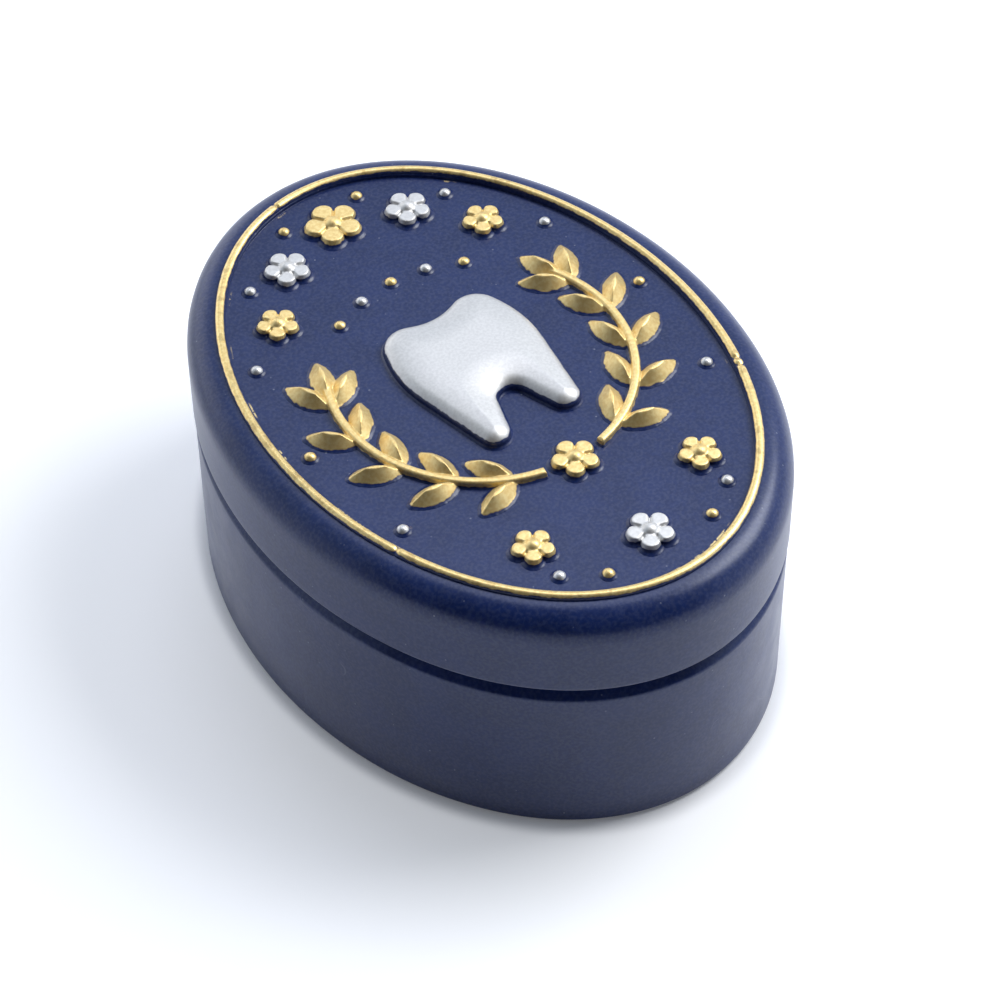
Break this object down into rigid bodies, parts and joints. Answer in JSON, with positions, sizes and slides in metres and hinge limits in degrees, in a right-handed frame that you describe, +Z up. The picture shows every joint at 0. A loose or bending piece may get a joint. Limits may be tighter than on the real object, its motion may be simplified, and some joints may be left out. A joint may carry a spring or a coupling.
{
  "type": "baby tooth box",
  "caption": "Oval cast-resin keepsake box for milk teeth: a hollow cup with a bevelled rim, and a lift-off lid with a plug lip, a gold rim bead and raised ornament.",
  "frame": {"origin": "centre of the felt pad's underside, on the surface the box stands on", "axes": "+Z up out of the lid, +Y along the oval's long axis towards the top of the ornament, +X across the oval"},
  "size_m": [0.055, 0.074, 0.033],
  "materials": {
    "navy_resin": "satin navy paint on cast polyresin",
    "gold_paint": "hand-brushed metallic gold paint on cast polyresin",
    "silver_paint": "hand-brushed metallic silver paint on cast polyresin",
    "felt": "pressed felt"
  },
  "bodies": {
    "base": {"cup": "navy_resin", "felt_pad": "felt"},
    "lid": {"lid": "navy_resin", "rim_bead": "gold_paint", "tooth_relief": "silver_paint", "sprig_left": "gold_paint", "sprig_right": "gold_paint", "blossoms_gold": "gold_paint", "blossoms_silver": "silver_paint", "dots_gold": "gold_paint", "dots_silver": "silver_paint"}
  },
  "joints": [
    {"name": "lid_lift", "type": "slide", "parent": "base", "child": "lid", "axis": [0, 0, 1], "range_m": [0, 0.04]}
  ]
}
